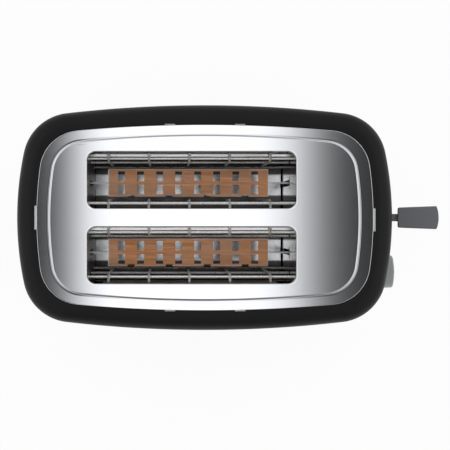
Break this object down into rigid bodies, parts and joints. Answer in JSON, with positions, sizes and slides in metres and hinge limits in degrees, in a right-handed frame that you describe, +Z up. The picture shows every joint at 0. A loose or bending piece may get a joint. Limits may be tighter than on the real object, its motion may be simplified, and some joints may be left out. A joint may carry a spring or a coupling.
{
  "type": "two-slot pop-up toaster",
  "caption": "Rounded black pop-up toaster with a polished steel top, two wide slots with wire guards, a side lever, a dial and a crumb tray.",
  "frame": {"origin": "on the table plane, below the middle of the object's bounding box, lever included", "axes": "+X along the slots towards the lever, +Y across the slots away from the dial's side, +Z up"},
  "size_m": [0.2916, 0.152, 0.184],
  "materials": {
    "black_housing": "satin black moulding",
    "polished_plate": "polished stainless steel",
    "chassis_steel": "plated sheet steel",
    "reflector_steel": "bright sheet steel",
    "guard_wire": "bright plated wire",
    "rack_steel": "plated sheet steel",
    "rod_steel": "ground steel",
    "grey_plastic": "satin grey moulding",
    "dial_plastic": "satin light grey moulding",
    "foot_rubber": "matt black rubber",
    "bush_rubber": "matt black rubber",
    "mica": "pale mica sheet",
    "element_ribbon": "oxidised resistance ribbon",
    "magnet_iron": "bare iron",
    "copper_coil": "enamelled copper winding",
    "circuit_board": "brown board",
    "control_parts": "black moulding",
    "terminal_plastic": "white moulding",
    "tray_steel": "plated sheet steel"
  },
  "bodies": {
    "toaster_body": {"outer_housing": "black_housing", "base_cover": "black_housing", "cord_plate": "black_housing", "top_plate": "polished_plate", "plate_clips": "polished_plate", "front_end_plate": "chassis_steel", "rear_end_plate": "chassis_steel", "base_screws": "chassis_steel", "near_reflector": "reflector_steel", "far_reflector": "reflector_steel", "guide_rod": "rod_steel", "foot_front_far": "foot_rubber", "foot_front_near": "foot_rubber", "foot_rear_far": "foot_rubber", "foot_rear_near": "foot_rubber", "cord_bush": "bush_rubber", "near_element_card": "mica", "centre_element_card": "mica", "far_element_card": "mica", "near_element_ribbon": "element_ribbon", "centre_element_ribbon": "element_ribbon", "far_element_ribbon": "element_ribbon", "magnet_core": "magnet_iron", "magnet_coil": "copper_coil", "control_board": "circuit_board", "browning_control": "control_parts", "cancel_switch": "control_parts", "terminal_block": "terminal_plastic"},
    "carriage": {"lift_bracket": "chassis_steel", "armature": "chassis_steel", "lever_strip": "chassis_steel", "lever_knob": "grey_plastic", "near_rack": "rack_steel", "far_rack": "rack_steel", "return_spring": "rod_steel"},
    "near_outer_guard_frame": {"near_outer_guard": "guard_wire"},
    "near_inner_guard_frame": {"near_inner_guard": "guard_wire"},
    "far_inner_guard_frame": {"far_inner_guard": "guard_wire"},
    "far_outer_guard_frame": {"far_outer_guard": "guard_wire"},
    "dial": {"browning_dial": "dial_plastic", "dial_shaft": "rod_steel"},
    "button": {"cancel_button": "grey_plastic"},
    "tray": {"crumb_tray": "tray_steel", "tray_front": "black_housing"}
  },
  "joints": [
    {"name": "carriage_slide", "type": "slide", "parent": "toaster_body", "child": "carriage", "axis": [0, 0, -1], "range_m": [0, 0.055], "stiffness_N_per_m": 60, "springref_m": -0.06, "deforming": ["return_spring"]},
    {"name": "near_outer_lean", "type": "hinge", "parent": "toaster_body", "child": "near_outer_guard_frame", "pos_m": [-0.0288, -0.0384, 0.03], "axis": [-1, 0, 0], "range_deg": [0, 3]},
    {"name": "near_inner_lean", "type": "hinge", "parent": "toaster_body", "child": "near_inner_guard_frame", "pos_m": [-0.0288, -0.012, 0.03], "axis": [1, 0, 0], "range_deg": [0, 3]},
    {"name": "far_inner_lean", "type": "hinge", "parent": "toaster_body", "child": "far_inner_guard_frame", "pos_m": [-0.0288, 0.012, 0.03], "axis": [-1, 0, 0], "range_deg": [0, 3]},
    {"name": "far_outer_lean", "type": "hinge", "parent": "toaster_body", "child": "far_outer_guard_frame", "pos_m": [-0.0288, 0.0384, 0.03], "axis": [1, 0, 0], "range_deg": [0, 3]},
    {"name": "dial_turn", "type": "hinge", "parent": "toaster_body", "child": "dial", "pos_m": [0.1114, -0.0401, 0.06], "axis": [1, 0, 0], "range_deg": [-135, 135]},
    {"name": "button_press", "type": "slide", "parent": "toaster_body", "child": "button", "axis": [-1, 0, 0], "range_m": [0, 0.002], "stiffness_N_per_m": 300, "springref_m": -0.001},
    {"name": "tray_slide", "type": "slide", "parent": "toaster_body", "child": "tray", "axis": [-1, 0, 0], "range_m": [0, 0.18]}
  ],
  "couplings": [
    {"joint": "near_outer_lean", "follows": "carriage_slide", "rad_per_m": 0.95},
    {"joint": "near_inner_lean", "follows": "carriage_slide", "rad_per_m": 0.95},
    {"joint": "far_inner_lean", "follows": "carriage_slide", "rad_per_m": 0.95},
    {"joint": "far_outer_lean", "follows": "carriage_slide", "rad_per_m": 0.95}
  ]
}
